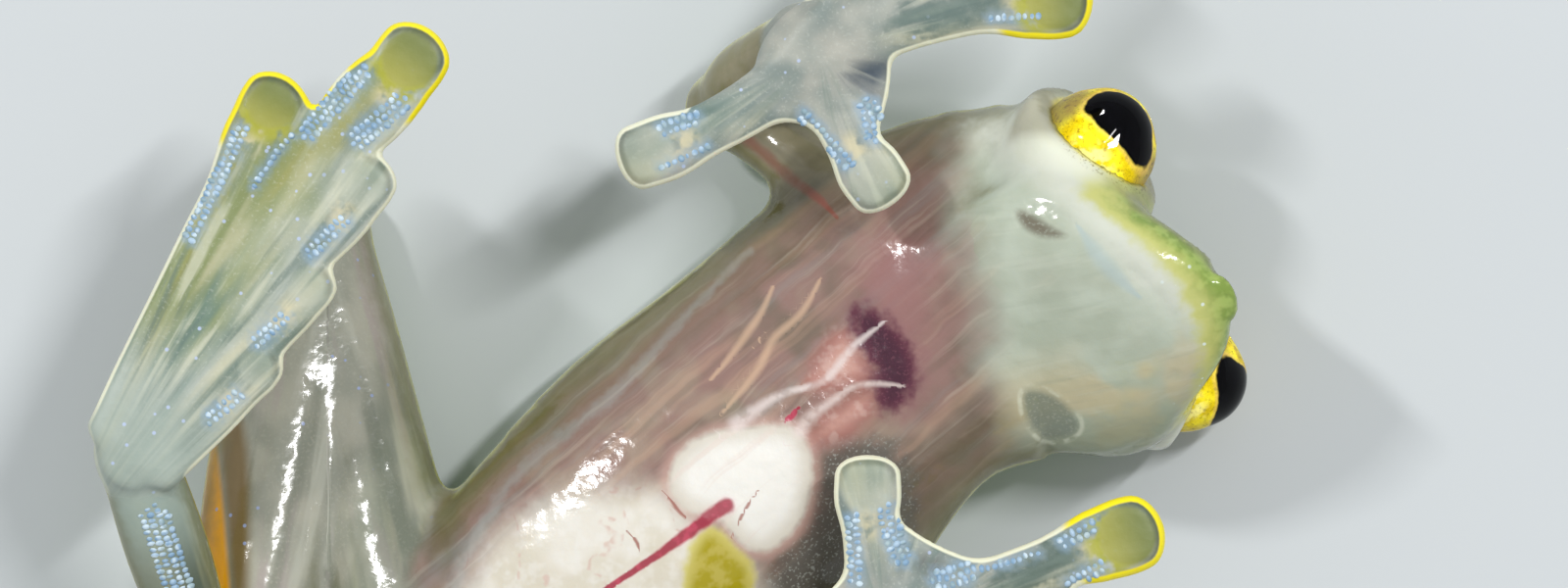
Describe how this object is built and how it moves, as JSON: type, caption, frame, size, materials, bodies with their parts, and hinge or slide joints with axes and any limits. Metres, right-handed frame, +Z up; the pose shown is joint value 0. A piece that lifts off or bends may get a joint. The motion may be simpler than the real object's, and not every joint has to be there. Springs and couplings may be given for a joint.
{
  "type": "glass frog",
  "caption": "Life-size still model of a glass frog seen from below: see-through belly skin over pale organs, splayed webbed feet, padded digits and golden eyes.",
  "frame": {"origin": "centre of the bounding box at its lowest level, where the back and knees rest on the floor", "axes": "+X towards the head, +Y towards the frog's right side, +Z up, out of the belly and towards the palms and soles"},
  "size_m": [0.0338, 0.0376, 0.0094],
  "materials": {
    "belly_skin": "wet, see-through belly skin over creamy white and dark red organs",
    "head_skin": "wet pale throat skin, lime green over the brow and snout, finely granular",
    "arm_skin": "wet, grey see-through skin, finely granular",
    "leg_skin": "wet, grey olive see-through skin with yellow green edges",
    "digit_skin": "wet, thin pale skin with cobbled blue white cells and a bright rim",
    "eye": "glossy golden iris with fine dark flecks and a large black pupil"
  },
  "bodies": {
    "root": {"torso": "belly_skin", "head": "head_skin", "eye_left": "eye", "upper_arm_left": "arm_skin", "forearm_left": "arm_skin", "hand_left": "digit_skin", "finger_1_left": "digit_skin", "finger_2_left": "digit_skin", "thigh_left": "leg_skin", "shank_left": "leg_skin", "tarsus_left": "leg_skin", "foot_left": "digit_skin", "eye_right": "eye", "upper_arm_right": "arm_skin", "forearm_right": "arm_skin", "hand_right": "digit_skin", "finger_1_right": "digit_skin", "finger_2_right": "digit_skin", "thigh_right": "leg_skin", "shank_right": "leg_skin", "tarsus_right": "leg_skin", "foot_right": "digit_skin"}
  },
  "joints": []
}
